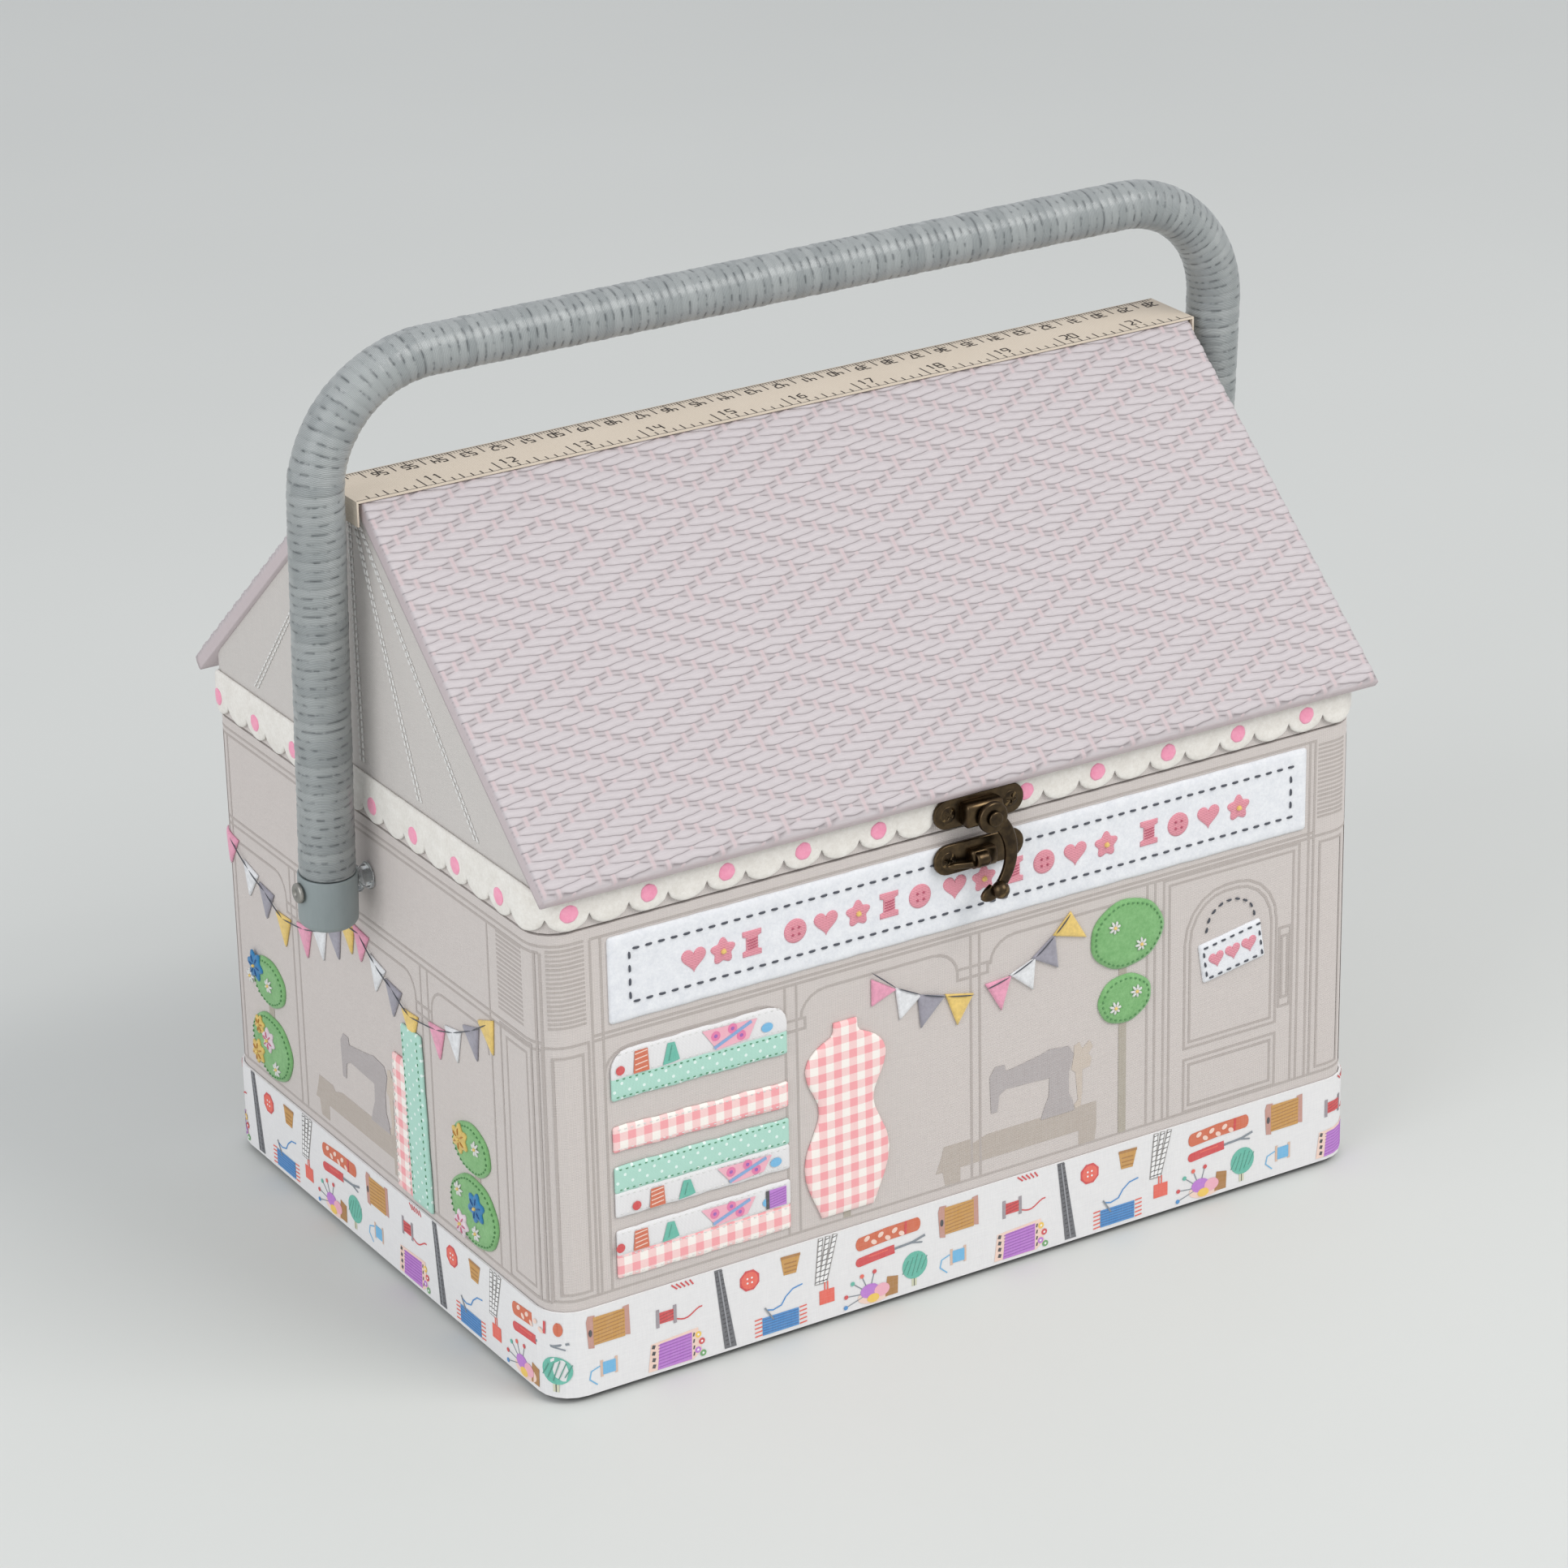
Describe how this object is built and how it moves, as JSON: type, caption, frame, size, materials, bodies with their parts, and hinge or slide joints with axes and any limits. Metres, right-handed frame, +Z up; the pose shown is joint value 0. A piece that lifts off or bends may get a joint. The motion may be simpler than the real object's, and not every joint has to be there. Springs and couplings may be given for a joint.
{
  "type": "house-shaped sewing box with trays",
  "caption": "House-shaped fabric-covered sewing box: hinged gable-roof lid, swing handle over the roof, hook clasp and lift-out divided trays inside.",
  "frame": {"origin": "middle of the base board's underside, on the surface the box stands on", "axes": "+Z up, -Y to the front with the clasp, +X to the right seen from the front, along the ridge"},
  "size_m": [0.3454, 0.2349, 0.308],
  "materials": {
    "canvas": "matt woven cotton",
    "print_cotton": "matt printed cotton",
    "woven_straw": "shiny woven braid",
    "gable_cloth": "matt woven cotton",
    "cream_felt": "matt felt",
    "sign_felt": "matt felt",
    "mint_cotton": "matt cotton",
    "pink_gingham": "matt checked cotton",
    "green_felt": "matt felt",
    "lining_cloth": "padded cotton",
    "tape_ribbon": "printed ribbon",
    "dark_base_cloth": "matt cloth",
    "ledge_board": "covered fibreboard",
    "tray_plastic": "satin moulded plastic",
    "antique_bronze": "antiqued, worn bright on edges",
    "wrap_strand": "spiral-wrapped glossy strand",
    "sleeve_plastic": "smooth satin",
    "clear_plastic": "clear moulded",
    "dull_steel": "dull"
  },
  "bodies": {
    "box": {"base_board": "dark_base_cloth", "body_shell": "canvas", "print_band": "print_cotton", "floor_pad": "lining_cloth", "liner_front": "lining_cloth", "liner_back": "lining_cloth", "liner_left": "lining_cloth", "liner_right": "lining_cloth", "ledge_front": "ledge_board", "ledge_back": "ledge_board", "sign_panel": "sign_felt", "folded_cloth_arched": "mint_cotton", "folded_cloth_gingham": "pink_gingham", "folded_cloth_mint": "mint_cotton", "folded_cloth_print": "pink_gingham", "dress_form": "pink_gingham", "shrub_upper": "green_felt", "shrub_lower": "green_felt", "door_sign": "sign_felt", "end_shrub_back_upper": "green_felt", "end_shrub_back_lower": "green_felt", "end_shrub_front_upper": "green_felt", "end_shrub_front_lower": "green_felt", "clasp_plate_lower": "antique_bronze", "clasp_stud": "antique_bronze", "clasp_screw_lower_left": "antique_bronze", "clasp_screw_lower_right": "antique_bronze", "handle_bolt_left": "dull_steel", "handle_bolt_right": "dull_steel", "handle_nut_left": "dull_steel", "handle_nut_right": "dull_steel", "handle_spacer_left": "clear_plastic", "handle_spacer_right": "clear_plastic", "hinge_cloth_body": "lining_cloth"},
    "lid": {"lid_rim": "cream_felt", "gable_left": "gable_cloth", "gable_right": "gable_cloth", "roof_front": "woven_straw", "roof_back": "woven_straw", "ridge_strip": "ledge_board", "ridge_tape": "tape_ribbon", "scalloped_trim": "cream_felt", "lid_lining_front": "lining_cloth", "lid_lining_back": "lining_cloth", "pincushion": "lining_cloth", "hinge_cloth_lid": "lining_cloth", "clasp_plate_upper": "antique_bronze", "hook_pivot": "antique_bronze", "clasp_screw_upper_left": "antique_bronze", "clasp_screw_upper_right": "antique_bronze"},
    "hook": {"clasp_hook": "antique_bronze"},
    "handle": {"handle_bow": "wrap_strand", "handle_sleeve_left": "sleeve_plastic", "handle_sleeve_right": "sleeve_plastic"},
    "tray_left_body": {"tray_left": "tray_plastic", "tray_left_divider": "tray_plastic"},
    "tray_right_body": {"tray_right": "tray_plastic", "tray_right_divider": "tray_plastic"}
  },
  "joints": [
    {"name": "lid_hinge", "type": "hinge", "parent": "box", "child": "lid", "pos_m": [0, 0.1073, 0.1534], "axis": [-1, 0, 0], "range_deg": [0, 66]},
    {"name": "handle_swing", "type": "hinge", "parent": "box", "child": "handle", "pos_m": [0, 0, 0.1343], "axis": [-1, 0, 0], "range_deg": [0, 132]},
    {"name": "hook_swing", "type": "hinge", "parent": "lid", "child": "hook", "pos_m": [0.003, -0.1166, 0.1583], "axis": [0, -1, 0], "range_deg": [0, 100]},
    {"name": "tray_left_lift", "type": "slide", "parent": "box", "child": "tray_left_body", "axis": [0, 0, 1], "range_m": [0, 0.036]},
    {"name": "tray_right_lift", "type": "slide", "parent": "box", "child": "tray_right_body", "axis": [0, 0, 1], "range_m": [0, 0.036]}
  ],
  "couplings": [
    {"joint": "handle_swing", "follows": "lid_hinge", "ratio": 2}
  ]
}
